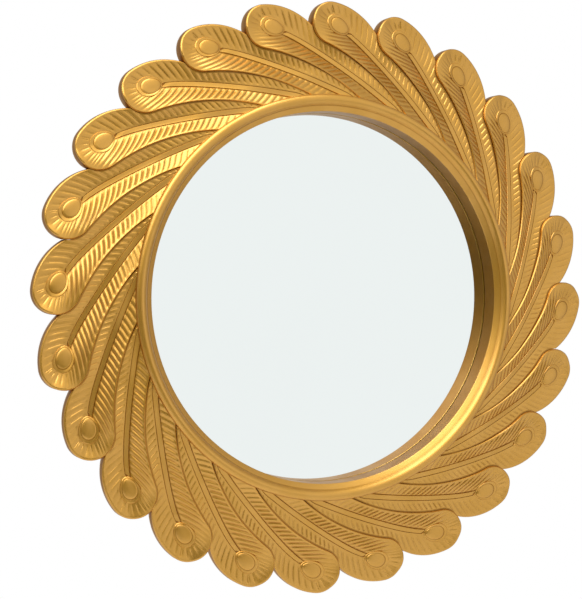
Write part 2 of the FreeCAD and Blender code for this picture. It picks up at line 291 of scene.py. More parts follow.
def fibreboard(colours):
    """Pressed fibreboard with short pale and dark fibres"""
    f = Finish("pressed fibreboard")
    where = f.objects()
    fibres = f.noise(where, 420.0, 8.0, 0.8)
    strands = f.noise(f.stretched(where, 5.0), 130.0, 5.0, 0.7)
    cloud = f.noise(where, 16.0, 3.0)
    pale_share = f.band(fibres * 0.6 + strands * 0.4 + (cloud - 0.5) * 0.12, 0.38, 0.62)
    colour = f.blend(pale_share, toned(colours.board, 0.55), toned(colours.board, 1.4))
    return f.surface(Base_Color=colour, Roughness=0.78 + (fibres - 0.5) * 0.2,
                     Normal=f.bump(fibres, 0.00025, 0.6))


def zinc_plate(colours):
    """Plated steel with fine drawn lines and cloudy passivation"""
    f = Finish("zinc plate")
    where = f.objects()
    drawn = f.noise(f.stretched(where, 14.0), 700.0, 3.0)
    cloud = f.noise(where, 160.0, 3.0)
    colour = f.blend(f.band(cloud, 0.35, 0.7), toned(colours.zinc), toned(colours.zinc, 0.82))
    return f.surface(Base_Color=colour, Metallic=1.0,
                     Roughness=0.30 + (cloud - 0.5) * 0.2 + (drawn - 0.5) * 0.1,
                     Normal=f.bump(drawn, 0.00003, 0.4))


def pressed_felt(colours):
    """Felt sheet behind the glass, paler on its tufts"""
    f = Finish("pressed felt")
    tufts = f.noise(f.objects(), 1400.0, 5.0, 0.8)
    colour = f.blend(f.band(tufts, 0.3, 0.7), toned(colours.felt_dark), toned(colours.felt_pale))
    return f.surface(Base_Color=colour, Roughness=0.95, Normal=f.bump(tufts, 0.0004, 0.8))


FINISHES = {"gold lacquer": gold_lacquer, "silvered glass": silvered_glass, "pressed fibreboard": fibreboard,
            "zinc plate": zinc_plate, "pressed felt": pressed_felt}


def paint(piece, name):
    """Gives a piece the finish of this name, which is written once"""
    finish = bpy.data.materials.get(name) or FINISHES[name](bpy.context.scene.mirror_colours)
    piece.data.materials.clear()
    piece.data.materials.append(finish)


# Modelling helpers

def fresh():
    """Object mode with nothing selected"""
    if bpy.context.object and bpy.context.object.mode != "OBJECT":
        bpy.ops.object.mode_set(mode="OBJECT")
    bpy.ops.object.select_all(action="DESELECT")


def hold(*pieces):
    """Object mode with only these pieces selected, and the first one active"""
    fresh()
    for piece in pieces:
        piece.select_set(True)
    bpy.context.view_layer.objects.active = pieces[0]


def placed():
    """The new primitive, with its place, turn and size in its mesh"""
    bpy.ops.object.transform_apply(location=True, rotation=True, scale=True)
    return bpy.context.object


def settle(piece, name, body, finish, nodes):
    """Names a finished piece and ties it to the frame"""
    piece.name = name
    piece.data.name = name
    paint(piece, finish)
    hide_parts(*nodes)
    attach(piece, body)


def smooth(piece, angle):
    """Smooth shading across edges that bend less than an angle"""
    hold(piece)
    bpy.ops.object.shade_smooth_by_angle(angle=math.radians(angle))


def edit(piece):
    """Edit mode with everything selected"""
    hold(piece)
    bpy.ops.object.mode_set(mode="EDIT")
    bpy.ops.mesh.select_all(action="SELECT")


def pick(piece, test):
    """Edit mode with only the corners that pass a test on their place selected"""
    edit(piece)
    bpy.ops.mesh.select_all(action="DESELECT")
    bpy.ops.object.mode_set(mode="OBJECT")
    for corner in piece.data.vertices:
        corner.select = test(corner.co)
    bpy.ops.object.mode_set(mode="EDIT")


def point_outwards():
    """Turns every face of the mesh in hand outwards"""
    bpy.ops.mesh.select_all(action="SELECT")
    bpy.ops.mesh.normals_make_consistent(inside=False)


def set_places(piece, places):
    """Moves the corners of a primitive to their places in the shape"""
    piece.data.vertices.foreach_set("co", np.asarray(places, float).ravel())
    piece.data.update()


def set_painted_shade(piece, values):
    """How much painted shade, in browner gold, each corner takes"""
    layer = piece.data.attributes.new(PAINTED_SHADE_AND_BACK_TONE, "FLOAT", "POINT")
    layer.data.foreach_set("value", np.asarray(values, float))


def turned(outline, steps, axis, painted_shade_and_back_tone=None):
    """Solid spun about an axis from an outline of radius and height, in millimetres"""
    fresh()
    bpy.ops.mesh.primitive_circle_add(vertices=len(outline), radius=1.0)
    piece = bpy.context.object
    set_places(piece, [Vector((radius, 0, 0)) + Vector(axis) * height for radius, height in outline])
    if painted_shade_and_back_tone:
        set_painted_shade(piece, painted_shade_and_back_tone)
    edit(piece)
    bpy.ops.mesh.spin(steps=steps, angle=math.tau, center=(0, 0, 0), axis=axis)
    bpy.ops.mesh.select_all(action="SELECT")
    bpy.ops.mesh.remove_doubles(threshold=0.002)
    bpy.ops.mesh.dissolve_degenerate(threshold=0.0001)
    point_outwards()
    bpy.ops.object.mode_set(mode="OBJECT")
    return piece


def work_on(piece, tool, operation):
    """Cuts one solid out of a piece or joins it on"""
    hold(piece)
    step = piece.modifiers.new("step", "BOOLEAN")
    step.operation = operation
    step.object = tool
    bpy.ops.object.modifier_apply(modifier=step.name)
    bpy.data.objects.remove(tool)


def copies_of(first, count):
    """The piece and its copies, each with its own mesh"""
    made = [first]
    while len(made) < count:
        hold(first)
        bpy.ops.object.duplicate(linked=False)
        made.append(bpy.context.object)
    return made


def rounded(piece, width, segments, angle):
    """Bevels the edges of a piece that bend more than an angle"""
    hold(piece)
    rounding = piece.modifiers.new("rounding", "BEVEL")
    rounding.width = width
    rounding.segments = segments
    rounding.limit_method = "ANGLE"
    rounding.angle_limit = math.radians(angle)
    bpy.ops.object.modifier_apply(modifier=rounding.name)


def joined(pieces):
    """Pieces made one"""
    hold(*pieces)
    bpy.ops.object.join()
    return pieces[0]


# Shape of one feather in its own plan: along from the eye to the ring, across outwards, in millimetres

EYE_CIRCLE = 275.8  # radius of the circle that the eyes lie on
EYE_DEPTH = 23.0  # height of the eye plane above the wall
SHAFT_ANGLE = 43.0  # between the plan's line along and the tangent of the eye circle
FIRST_EYE_ANGLE = 177.0  # bearing of the first eye, from the right over the top
PITCH = 360.0 / len(FEATHERS)  # turn from one feather to the next
BACK = -11.0  # height of the flat back
SEAM = 0.25  # gap to the next feather
RING_ROOM = 204.35  # radius at which a feather is cut off for the ring
ROOT_END = 176.0  # place along at which the carving ends, behind the ring
NOSE = np.array([-6.35, -3.06])  # centres of the three arcs of the edge, each running into the next
NOSE_RADIUS = 22.75
LOW_EDGE = np.array([18.2, -33.2])
HIGH_EDGE = np.array([74.0, -195.8])
HIGH_EDGE_START = 56.0  # bearing at which the high edge starts, at the root
LOW_EDGE_END = 64.0  # bearing at which the low edge runs on straight, under the next feather
LOW_EDGE_RUN = (60.0, 1.0)  # how far it runs on, along and across
EYE_MIDDLE = np.array([-0.6, 0.9])
EYE_HALF = np.array([13.4, 9.7])
EYE_TILT = 17.0
SHAFT_START = 15.5  # place along at which the shaft starts, beside the eye

# Smooth form of one feather: strengths first, then where or how softly they act

VALLEY = (6.6, 0.066, 0.00066)  # line that the shaft lies on: across at the eye, slope and bend
EYE_DRAW = (3.0, 22.0)  # how far that line draws in beside the eye, and over what length
ROOT_BEND = (0.012, 145.0)  # how sharply it bends down at the root, and from where
VALLEY_FLOOR = -2.0  # height of the valley beside the eye
FLOOR_RISE = (0.115, 0.00022, 3.0, 1.5)  # slope and bend of its rise to the root, delay and softness
NOSE_LIFT = (0.003, -3.0)  # how sharply the tip lifts, and from where
LONG_BEND = 10.0  # softness of the bends along a feather
FLAT_SLOPE = (0.2, 58.0, 26.0)  # steepest slope of the flat vane, its place, and its spread
FLAT_FALL = (0.0035, 85.0)  # what that slope loses with each millimetre to the root, and from where
FLAT_BEND = 1.2  # softness of the bend between the valley and the flat vane
STEEP_SLOPE = (0.8, 4.0, 2.2)  # slope of the steep vane, distance from the valley, and softness
STEEP_EASE = (0.62, 17.0, 5.0)  # what that slope loses near the edge, from where, and softness
TIP_SHARE = (0.45, -20.0, 26.0)  # share of the steep vane's height at the tip, and where it is whole
ROOT_LOSS = (0.14, 80.0, 120.0)  # share of that height that goes towards the root, and where
RING_DIP = (2.3, 226.0)  # dip beside the ring, and the radius at which it starts


def heading(angle):
    """Step of length one in a direction"""
    turn = np.radians(angle)
    return np.stack([np.cos(turn), np.sin(turn)], -1)


def bearing(start, end):
    """Direction from one point to another"""
    return math.degrees(math.atan2(end[1] - start[1], end[0] - start[0]))


def rise(x, low, high):
    """Smooth step from 0 at low to 1 at high"""
    t = np.clip((x - low) / (high - low), 0.0, 1.0)
    return t * t * (3 - 2 * t)


def grown(x, share, low, high):
    """Smooth growth from a share at low to the whole at high"""
    return share + (1 - share) * rise(x, low, high)


def soft_ramp(x, radius):
    """Zero on one side and a straight rise on the other, with a rounded bend"""
    return (x + np.sqrt(x ** 2 + radius ** 2)) / 2


MIRROR_CENTRE = heading(SHAFT_ANGLE - 90) * EYE_CIRCLE


def turned_on(points, angle):
    """Points after a clockwise turn about the mirror's centre"""
    c, s = math.cos(math.radians(angle)), math.sin(math.radians(angle))
    return (points - MIRROR_CENTRE) @ np.array([[c, -s], [s, c]]) + MIRROR_CENTRE


def feather_edges(gap=0.0):
    """High edge from the root round the nose, and low edge from the nose to the root, grown by a gap"""
    low_radius = NOSE_RADIUS + math.dist(NOSE, LOW_EDGE)
    high_radius = math.dist(HIGH_EDGE, NOSE) - NOSE_RADIUS
    nose_start = bearing(NOSE, HIGH_EDGE)
    nose_end = bearing(LOW_EDGE, NOSE)
    high = HIGH_EDGE + heading(np.linspace(HIGH_EDGE_START, nose_start + 180, 160)) * (high_radius - gap)
    tip = NOSE + heading(np.linspace(nose_start + 360, nose_end, 200)) * (NOSE_RADIUS + gap)
    low = LOW_EDGE + heading(np.linspace(nose_end, LOW_EDGE_END, 100)) * (low_radius + gap)
    under = low[-1] + np.array([LOW_EDGE_RUN])
    return np.concatenate([high, tip]), np.concatenate([tip, low, under])


def valley_across(along):
    """Line of the valley that the shaft lies in"""
    start, slope, bend = VALLEY
    draw, draw_length = EYE_DRAW
    root_bend, root_start = ROOT_BEND
    root = np.maximum(along - root_start, 0.0)
    drawn_in = draw * np.exp(-(along / draw_length) ** 2)
    return start + slope * along - bend * along ** 2 - drawn_in - root_bend * root ** 2


def valley_level(along):
    """Height of the valley, rising to the root and a little to the tip"""
    slope, bend, delay, softness = FLOOR_RISE
    lift, lift_start = NOSE_LIFT
    rootwards = np.maximum(along, 0.0)
    nosewards = soft_ramp(lift_start - along, LONG_BEND)
    climb = soft_ramp(-delay + slope * rootwards + bend * rootwards ** 2, softness)
    return VALLEY_FLOOR + climb + lift * nosewards ** 2


def feather_level(along, across):
    """Height of the smooth feather before it is carved"""
    inside = valley_across(along) - across
    slope, steepest, spread = FLAT_SLOPE
    fall, fall_start = FLAT_FALL
    flat = slope * np.exp(-((along - steepest) / spread) ** 2)
    flat = flat - fall * soft_ramp(along - fall_start, LONG_BEND)
    slope, foot, foot_bend = STEEP_SLOPE
    ease, ease_start, ease_bend = STEEP_EASE
    steep = slope * soft_ramp(inside - foot, foot_bend) - ease * soft_ramp(inside - ease_start, ease_bend)
    loss, loss_start, loss_end = ROOT_LOSS
    fade = grown(along, *TIP_SHARE) * (1 - loss * rise(along, loss_start, loss_end))
    dip, dip_start = RING_DIP
    from_centre = np.hypot(along - MIRROR_CENTRE[0], across - MIRROR_CENTRE[1])
    return (valley_level(along) + steep * fade + flat * soft_ramp(-inside, FLAT_BEND)
            - dip * rise(from_centre, dip_start, RING_ROOM))


def first_crossing(start, run, lines):
    """Distance along a run to the nearest of some lines, which line, and the sine of the angle there"""
    best = None
    for number, line in enumerate(lines):
        a, b = line[:-1] - start, line[1:] - start
        step = b - a
        cross = run[0] * step[:, 1] - run[1] * step[:, 0]
        cross = np.where(np.abs(cross) < 1e-9, 1e-9, cross)
        distance = (a[:, 0] * step[:, 1] - a[:, 1] * step[:, 0]) / cross
        share = (a[:, 0] * run[1] - a[:, 1] * run[0]) / cross
        good = np.flatnonzero((share >= -1e-6) & (share <= 1 + 1e-6) & (distance > 0.01))
        if len(good):
            at = good[np.argmin(distance[good])]
            if best is None or distance[at] < best[0]:
                best = (distance[at], number, abs(cross[at]) / np.hypot(*step[at]))
    if best is None:
        raise RuntimeError("a barb misses the edge of its feather")
    return best


def eye_exit(start, run):
    """Distance along a run to where it leaves the eye, nought if it starts outside"""
    turn = np.radians(EYE_TILT)
    frame_of_eye = np.array([[math.cos(turn), math.sin(turn)], [-math.sin(turn), math.cos(turn)]])
    p = frame_of_eye @ (start - EYE_MIDDLE) / EYE_HALF
    d = frame_of_eye @ run / EYE_HALF
    if p @ p >= 1:
        return 0.0
    return (-(p @ d) + math.sqrt((p @ d) ** 2 + (d @ d) * (1 - p @ p))) / (d @ d)


# Carving of one feather, in runs from the shaft to the edge

SHAFT_COLUMNS = [0.0, 0.1, 0.25, 0.5, 0.75, 0.9]  # points of a run: from 0 to 1 over the shaft
BARB_COLUMNS = list(1 + np.linspace(0, 1, 13)[:-1])  # from 1 to 2 along the barb
RIM_COLUMNS = [2.0, 2.25, 2.45, 2.62, 2.76, 2.87, 2.95, 3.0]  # from 2 to 3 over the rim
COLUMNS = np.array(SHAFT_COLUMNS + BARB_COLUMNS + RIM_COLUMNS)
PART = np.minimum(COLUMNS.astype(int), 2)
SHARE = COLUMNS - PART

STEEP_LEAN = (47, 14, 16)  # angle of the deep barbs to the shaft, what it lacks at the eye, over what length
FLAT_LEAN = (58, 34, 24)  # the same of the fine barbs
EYE_CROWDING = 1.25  # how much closer the barbs stand beside the eye
FAN_PITCH = 14.0  # degrees from one stroke to the next round the tip
FAN_ROWS = 50
WALL_RIM = 1.2  # width of the border where a run ends at the next feather
STEEP_RIM = 0.75  # share of the border's width on the steep vane
TIP_RIM = 0.35  # what the border gains round the tip
LEAST_SLANT = 0.35  # sine of the flattest angle at the border
MOST_RIM = 0.42  # share of a run that the border takes at most
BARE_STRIP = 1.4  # smooth strip between the shaft and the fine barbs
LEAST_LEAN = 0.3  # sine of the flattest angle at the shaft
EYE_MARGIN = 0.9  # smooth strip round the eye
BARB_BOW = 0.14  # how far the barbs bow
FINE_SHARPNESS = 2.2  # how narrow the fine cuts are beside the deep ones
STEEP_GROWTH = (0.32, 8, 24)  # share of a deep cut's depth by the eye, and where it grows to the whole
FLAT_GROWTH = (0.7, 4, 22)  # the same of the fine cuts
RING_GROWTH = (0.5, 206.0, 225.0)  # the same of all cuts by the ring, over these radii
CUT_END, EYE_CUT_LOSS = 0.84, 0.34  # share of a barb at which its cut fades, and how much earlier by the eye
CROWN = (0.25, 0.7)  # height of the shaft's sides beside its crown, and how full it is
ROLL_START = 0.25  # share of the rim at which the edge starts to roll
STEEP_ROLL = (0.75, 1.25)  # share of the roll's drop on the steep vane, and how late it falls
TIP_ROLL = 0.4  # what the rolled edge gains round the tip
CLOSING_DEPTH = 1.9  # how much deeper the line is that closes the shaft
STEEP_SHADE, FLAT_SHADE = 0.62, 0.55  # painted shade, in browner gold, in the cuts of each vane
LINE_SHADE, CLOSING_SHADE = 0.9, 0.65  # painted shade in the lines along the shaft and across its end
WALL_SHADE, EDGE_SHADE = 0.6, 0.8  # painted shade at the next feather and at the foot of the rolled edge
BACK_TONE = 0.5  # the flat back's own browner tone, not shade


def barb_lean(lean, place):
    """Angle between the barbs and the shaft, smaller beside the eye"""
    full, lack, length = lean
    return full - lack * np.exp(-place / length)


def barb_count(place, pitch):
    """Number of barbs from the eye's end to a place, closer together beside the eye"""
    from_start = place - SHAFT_START
    return np.where(place > SHAFT_START, from_start, from_start * EYE_CROWDING) / pitch


def barb_rows(sizes):
    """Start, angle, count of barbs, side (-1 steep, 0 tip, 1 flat) and place along the shaft of each run"""
    places = np.arange(0.0, ROOT_END, sizes.barb_pitch / sizes.rows_per_barb)
    spine = np.stack([places, valley_across(places) * rise(places, 0.0, SHAFT_START)], 1)
    steep = [(start, 180 + barb_lean(STEEP_LEAN, place), barb_count(place, sizes.barb_pitch), -1, place)
             for start, place in zip(spine, places)]
    flat = [(start, 180 - barb_lean(FLAT_LEAN, place), barb_count(place, sizes.fine_pitch), 1, place)
            for start, place in zip(spine, places)]
    _, first_angle, first_count, _, _ = steep[0]
    fan = [(np.zeros(2), angle, first_count - (first_angle - angle) / FAN_PITCH, 0, 0.0)
           for angle in np.linspace(first_angle, flat[0][1], FAN_ROWS)]
    return steep[::-1] + fan[1:-1] + flat


def lay_row(row, own, beside, sizes):
    """Points of one run on the plan, whether it ends at the next feather, and how near the tip it ends"""
    start, angle, _, side, place = row
    run = heading(angle)
    high, low = own
    reach, line, slant = first_crossing(start, run, [high] if side < 0 else [low, beside])
    at_wall = float(side > 0 and line == 1)
    tipwards = rise(-(start + run * reach)[0], -30, 5)
    rim = WALL_RIM if at_wall else sizes.rim_width * (STEEP_RIM if side < 0 else 1 + TIP_RIM * tipwards)
    rim = min(rim / max(slant, LEAST_SLANT), MOST_RIM * reach)
    lean = max(abs(math.sin(math.radians(angle))), LEAST_LEAN)
    beside_shaft = (sizes.shaft_width if side < 0 else BARE_STRIP) / lean * rise(place, 4.0, SHAFT_START)
    inner = min(max(eye_exit(start, run) + EYE_MARGIN, beside_shaft), reach / 2)
    along = np.select([PART == 0, PART == 1], [SHARE * inner, inner + SHARE * (reach - rim - inner)],
                      reach - rim * (1 - SHARE))
    bow = BARB_BOW * side * reach * (along / reach) * (1 - along / reach) * rise(place, 0, 20)
    points = start + along[:, None] * run + bow[:, None] * np.array([run[1], -run[0]])
    return points, at_wall, tipwards


def barb_cut(row, points, sizes):
    """Depth of the cut between two barbs"""
    _, _, count, side, place = row
    if side < 0:
        sharpness, depth = 1.0, sizes.barb_depth * grown(place, *STEEP_GROWTH)
    else:
        sharpness, depth = FINE_SHARPNESS, sizes.fine_depth * grown(place, *FLAT_GROWTH)
    off_cut = abs(count - round(float(count)))
    groove = (1 - math.sin(math.pi * off_cut)) ** sharpness * depth
    fade_from = CUT_END - EYE_CUT_LOSS * (1 - rise(place, 12, 50)) * (side <= 0)
    cut = np.where(PART == 1, rise(SHARE, -0.02, 0.2) * rise(SHARE, 1.02, fade_from), 0.0) * groove
    return cut * grown(np.hypot(*(points - MIRROR_CENTRE).T), *RING_GROWTH)


def shaft_crown(place, sizes):
    """Height of the rounded shaft, which the runs of the steep side cross"""
    sides, fullness = CROWN
    crown = sides + (1 - sides) * np.sin(np.pi * SHARE) ** fullness
    shaft = np.where(PART == 0, crown * rise(SHARE, 0.0, 0.1) * rise(SHARE, 1.0, 0.9), 0.0)
    return shaft * sizes.shaft_lift * rise(place, SHAFT_START - 0.3, SHAFT_START + 9)


def engraved_line(side, place, sizes):
    """Depth of the lines along the shaft, and of the line that closes its end"""
    if place > SHAFT_START:
        return np.isin(COLUMNS, [0.0, 1.0] if side < 0 else [0.0]) * sizes.line_depth
    across_end = rise(SHARE, 1.0, 0.8) * (PART == 0) if side < 0 else COLUMNS == 0.0
    near_end = rise(place, SHAFT_START - 2.4, SHAFT_START - 1.2)
    return across_end * near_end * sizes.line_depth * CLOSING_DEPTH


def edge_roll(side, at_wall, tipwards, sizes):
    """Drop of the rolled edge, none where a run ends at the next feather"""
    over = np.clip((SHARE - ROLL_START) / (1 - ROLL_START), 0, 1)
    drop, lateness = STEEP_ROLL
    bend = drop * over ** lateness if side < 0 else 1 - np.sqrt(1 - over ** 2)
    return np.where(PART == 2, bend, 0.0) * sizes.roll * (1 + TIP_ROLL * tipwards) * (1 - at_wall)


def carve_row(row, own, beside, sizes):
    """Points of one carved run, and the painted shade, in browner gold, at each"""
    side, place = row[3:]
    points, at_wall, tipwards = lay_row(row, own, beside, sizes)
    cut = barb_cut(row, points, sizes)
    shaft = shaft_crown(place, sizes) if side < 0 else 0.0
    line = engraved_line(side, place, sizes)
    height = feather_level(*points.T) - cut + shaft - edge_roll(side, at_wall, tipwards, sizes) - line
    line_shade = np.minimum(LINE_SHADE * line / sizes.line_depth,
                            LINE_SHADE if place > SHAFT_START else CLOSING_SHADE)
    cut_shade = cut / sizes.barb_depth * (FLAT_SHADE if side > 0 else STEEP_SHADE)
    painted_shade_and_back_tone = np.maximum.reduce([cut_shade, line_shade, WALL_SHADE * at_wall * (PART == 2),
                                EDGE_SHADE * (COLUMNS == 3.0)])
    return np.column_stack([points, height]), painted_shade_and_back_tone


def feather_matrix(number):
    """From a feather's own plan in millimetres to the mirror in metres"""
    lean = math.radians(SHAFT_ANGLE)
    c, s = math.cos(lean), math.sin(lean)
    upright = Matrix(((c, s, 0, 0), (0, 0, -1, -EYE_DEPTH), (-s, c, 0, EYE_CIRCLE), (0, 0, 0, 1)))
    turn = Matrix.Rotation(math.radians(90 - FIRST_EYE_ANGLE + PITCH * number), 4, "Y")
    return TO_METRES @ turn @ upright


EYE_SIDES = 72
EYE_STEPS = ((1.07, -1.2), (1.03, -0.5), (1.0, 0.2), (0.97, 0.62), (0.93, 0.72), (0.84, 0.62), (0.79, 0.55),
             (0.76, 0.7), (0.72, 1.0), (0.67, 1.12), (0.5, 1.3), (0.3, 1.42), (0.12, 1.48), (0.0, 1.49))
EYE_SHADE = {1.07: 0.7, 1.03: 1.0, 0.79: 0.85, 0.76: 0.3}  # painted shade round the oval and the dome
EYE_BRIM = 0.93  # step inside which the eye no longer follows the feather
EYE_POINT = 0.12  # how much the oval narrows towards the shaft
DOME_NARROWING = 0.09  # how much narrower the dome is than the oval
DOME_SHIFT = 2.2  # how far the dome lies towards the shaft
EYE_LEAN = (0.6, 0.6, 1.0)  # share of the feather's slopes that the eye keeps, and of its height


def eye_oval(share, turns):
    """One step of the eye on the plan, as a share of the whole oval"""
    tilt = math.radians(EYE_TILT)
    inward = rise(share, 1.0, 0.6)
    oval = np.stack([np.cos(turns), np.sin(turns) * (1 - EYE_POINT * np.cos(turns))], 1) * EYE_HALF * share
    oval = oval * (1.0, 1 - DOME_NARROWING * inward) + np.array([DOME_SHIFT * inward, 0.0])
    x = EYE_MIDDLE[0] + oval[:, 0] * math.cos(tilt) - oval[:, 1] * math.sin(tilt)
    y = EYE_MIDDLE[1] + oval[:, 0] * math.sin(tilt) + oval[:, 1] * math.cos(tilt)
    return x, y


def carve_eye():
    """The raised eye: an oval step, a flat ring and a low dome, laid on the feather"""
    turns = np.linspace(0, math.tau, EYE_SIDES + 1)
    rows = []
    for share, lift in EYE_STEPS:
        x, y = eye_oval(share, turns)
        level = feather_level(x, y)
        if share == EYE_BRIM:
            plane = np.linalg.lstsq(np.column_stack([x, y, np.ones(len(x))]), level, rcond=None)[0]
            plane *= EYE_LEAN
            uneven = level - plane[0] * x - plane[1] * y - plane[2]
        elif share < EYE_BRIM:
            level = plane[0] * x + plane[1] * y + plane[2] + uneven * (share / EYE_BRIM) ** 4
        rows.append(np.column_stack([x, y, level + lift]))
    fresh()
    bpy.ops.mesh.primitive_grid_add(x_subdivisions=len(turns) - 1, y_subdivisions=len(rows) - 1, size=1.0)
    eye = bpy.context.object
    set_places(eye, np.concatenate(rows))
    set_painted_shade(eye, np.repeat([EYE_SHADE.get(share, 0.0) for share, _ in EYE_STEPS], len(turns)))
    edit(eye)
    bpy.ops.mesh.remove_doubles(threshold=0.0005)
    bpy.ops.mesh.select_all(action="DESELECT")
    bpy.ops.mesh.select_non_manifold()
    bpy.ops.mesh.edge_face_add()
    point_outwards()
    bpy.ops.object.mode_set(mode="OBJECT")
    return eye


def carve_feather(sizes):
    """One feather: a grid laid along the barbs, its edge drawn down to the flat back, cut off at the ring"""
    own = feather_edges()
    beside = turned_on(feather_edges(SEAM)[0][::-1], PITCH)
    rows = [carve_row(row, own, beside, sizes) for row in barb_rows(sizes)]
    fresh()
    bpy.ops.mesh.primitive_grid_add(x_subdivisions=len(COLUMNS) - 1, y_subdivisions=len(rows) - 1, size=1.0)
    leaf = bpy.context.object
    if len(leaf.data.vertices) != len(rows) * len(COLUMNS):
        raise RuntimeError("the grid does not match the carving")
    set_places(leaf, np.concatenate([places for places, _ in rows]))
    set_painted_shade(leaf, np.concatenate([painted_shade_and_back_tone for _, painted_shade_and_back_tone in rows]))
    edit(leaf)
    bpy.ops.mesh.remove_doubles(threshold=0.0005)
    bpy.ops.mesh.select_mode(type="EDGE")
    bpy.ops.mesh.select_all(action="DESELECT")
    bpy.ops.mesh.select_non_manifold(extend=False, use_wire=False, use_boundary=True, use_multi_face=False,
                                     use_non_contiguous=False, use_verts=False)
    bpy.ops.mesh.extrude_region_move(TRANSFORM_OT_translate={"value": (0, 0, BACK)})
    bpy.ops.transform.resize(value=(1, 1, 0), center_override=(0, 0, BACK))
    bpy.ops.mesh.fill(use_beauty=False)
    point_outwards()

    # End cut to the round of the ring, and the back, which has no cuts and takes its own browner tone rather
    # than painted shade
    fresh()
    bpy.ops.mesh.primitive_cylinder_add(vertices=360, radius=RING_ROOM, depth=120,
                                        location=(*MIRROR_CENTRE, 0.0))
    work_on(leaf, bpy.context.object, "DIFFERENCE")
    for corner, shade in zip(leaf.data.vertices, leaf.data.attributes[PAINTED_SHADE_AND_BACK_TONE].data):
        if corner.co.z < BACK + 0.01:
            shade.value = BACK_TONE
    leaf = joined([leaf, carve_eye()])
    smooth(leaf, angle=38)
    return leaf


class WALL_MIRROR_OT_feathers(bpy.types.Operator):
    """Carves one feather and lays a copy on each feather of the frame"""
    bl_idname = "wall_mirror.feathers"
    bl_label = "Feathers"

    def execute(self, context):
        copies = copies_of(carve_feather(context.scene.mirror_feather), len(FEATHERS))
        for number, (piece, node) in enumerate(zip(copies, FEATHERS)):
            piece.data.transform(feather_matrix(number))
            settle(piece, "carved_" + node, BODY, "gold lacquer", [node])
        return {"FINISHED"}


# Ring round the glass, as radius and depth in millimetres

BEAD, BEAD_HALF = (198.4, 39.6), (5.9, 4.0)  # middle and half sizes of the oval that rounds the outer bead
LIP, LIP_HALF = (188.6, 35.0), (1.2, 1.2)  # the same of the lip at the head of the inner wall
RING_SHADE = {193.5: 0.3, 193.1: 0.55, 192.7: 0.5, 192.2: 0.2, 187.4: 0.6}  # painted shade by radius: in the crease and on the inner wall


def arc(middle, half, start, end, count):
    """Points of part of an oval"""
    turns = np.radians(np.linspace(start, end, count))
    return [(middle[0] + half[0] * math.cos(turn), middle[1] + half[1] * math.sin(turn)) for turn in turns]


def ring_profile():
    """Outline of the ring, round every edge that shows"""
    bead = arc(BEAD, BEAD_HALF, 0, 90, 14)
    crest = [(197.5, 43.4), (196.6, 42.95), (195.6, 42.3), (194.7, 41.5), (194.0, 40.7), (193.5, 40.05)]
    crease = [(193.1, 39.55), (192.7, 39.2), (192.2, 38.9)]
    band = [(191.2, 38.27), (189.6, 37.14), (188.4, 36.3)]
    lip = arc(LIP, LIP_HALF, 125, 180, 6)
    wall = [(187.4, 30.0), (187.4, 22.0), (187.4, 15.1)]
    rebate = [(187.9, 14.6), (192.5, 14.6), (192.5, 12.0), (204.3, 12.0), (204.3, 30.0)]
    return bead + crest + crease + band + lip + wall + rebate


class WALL_MIRROR_OT_ring(bpy.types.Operator):
    """Turns the ring moulding from its outline"""
    bl_idname = "wall_mirror.ring"
    bl_label = "Ring moulding"

    def execute(self, context):
        outline = ring_profile()
        painted_shade_and_back_tone = [RING_SHADE.get(radius, 0.0) for radius, _ in outline]
        ring = turned(outline, context.scene.mirror_ring.steps, (0, -1, 0), painted_shade_and_back_tone)
        ring.data.transform(TO_METRES)
        smooth(ring, angle=35)
        settle(ring, "turned_ring", BODY, "gold lacquer", ["ring_moulding"])
        return {"FINISHED"}


class WALL_MIRROR_OT_glass(bpy.types.Operator):
    """Cuts the mirror glass and rounds its edge"""
    bl_idname = "wall_mirror.glass"
    bl_label = "Mirror glass"

    def execute(self, context):
        front = GLASS_LOW[1] + context.scene.mirror_ring.seam
        depth = GLASS_HIGH[1] - front
        fresh()
        bpy.ops.mesh.primitive_cylinder_add(vertices=192, radius=GLASS_HIGH[0], depth=depth,
                                            location=(0, front + depth / 2, 0),
                                            rotation=(math.radians(90), 0, 0))
        glass = placed()
        rounded(glass, width=0.0006, segments=2, angle=30)
        smooth(glass, angle=20)
        settle(glass, "silvered_glass", BODY, "silvered glass", ["mirror_glass"])
        return {"FINISHED"}


BACK_FINISHES = {"carrier_ring": "pressed fibreboard", "backing_board": "pressed fibreboard",
                 "felt_liner": "pressed felt", "keyhole_plate_left": "zinc plate",
                 "keyhole_plate_right": "zinc plate"}


class WALL_MIRROR_OT_boards(bpy.types.Operator):
    """Finishes the boards, the felt and the keyhole plates of the back"""
    bl_idname = "wall_mirror.boards"
    bl_label = "Boards and plates"

    def execute(self, context):
        for name, finish in BACK_FINISHES.items():
            paint(frame["nodes"][name], finish)
        return {"FINISHED"}


# Fittings of the back in their own plan, in millimetres with the wall side up

BUTTON_CIRCLE = 206.0
BUTTON_ANGLES = {"turn_button_right": 0, "turn_button_top": 90, "turn_button_left": 180,
                 "turn_button_bottom": 270}
BUTTON_REACH = 26.0
BUTTON_HALF_WIDTH = 6.0
BUTTON_LEVELS = (-1.5, -3.0)  # top and floor
RIB_PLACE, RIB_HALF = -15.5, (9.5, 2.1, 0.9)
PIVOT_HOLE = 2.3
HANGER_CIRCLE, HANGER_ANGLES = 227.25, (60, 120)
PLATE_SCREW_LIFTS = (19.0, -19.0)  # above and below the middle of a keyhole plate
FEATHER_SCREWS = ((249.2, 5.1), (226.1, 17.3))  # circle of each row, and its turn from the eyes
RING_SCREW_CIRCLE, RING_SCREW_ANGLES = 198.4, np.arange(22.5, 360.0, 45.0)
SUNK_SCREW = (3.6, 1.75, 2.2)  # radius of the head and of the shank, height of the cone
PLATE_SCREW = (2.8, 1.5, 1.0)
SUNK_TOP = -0.3
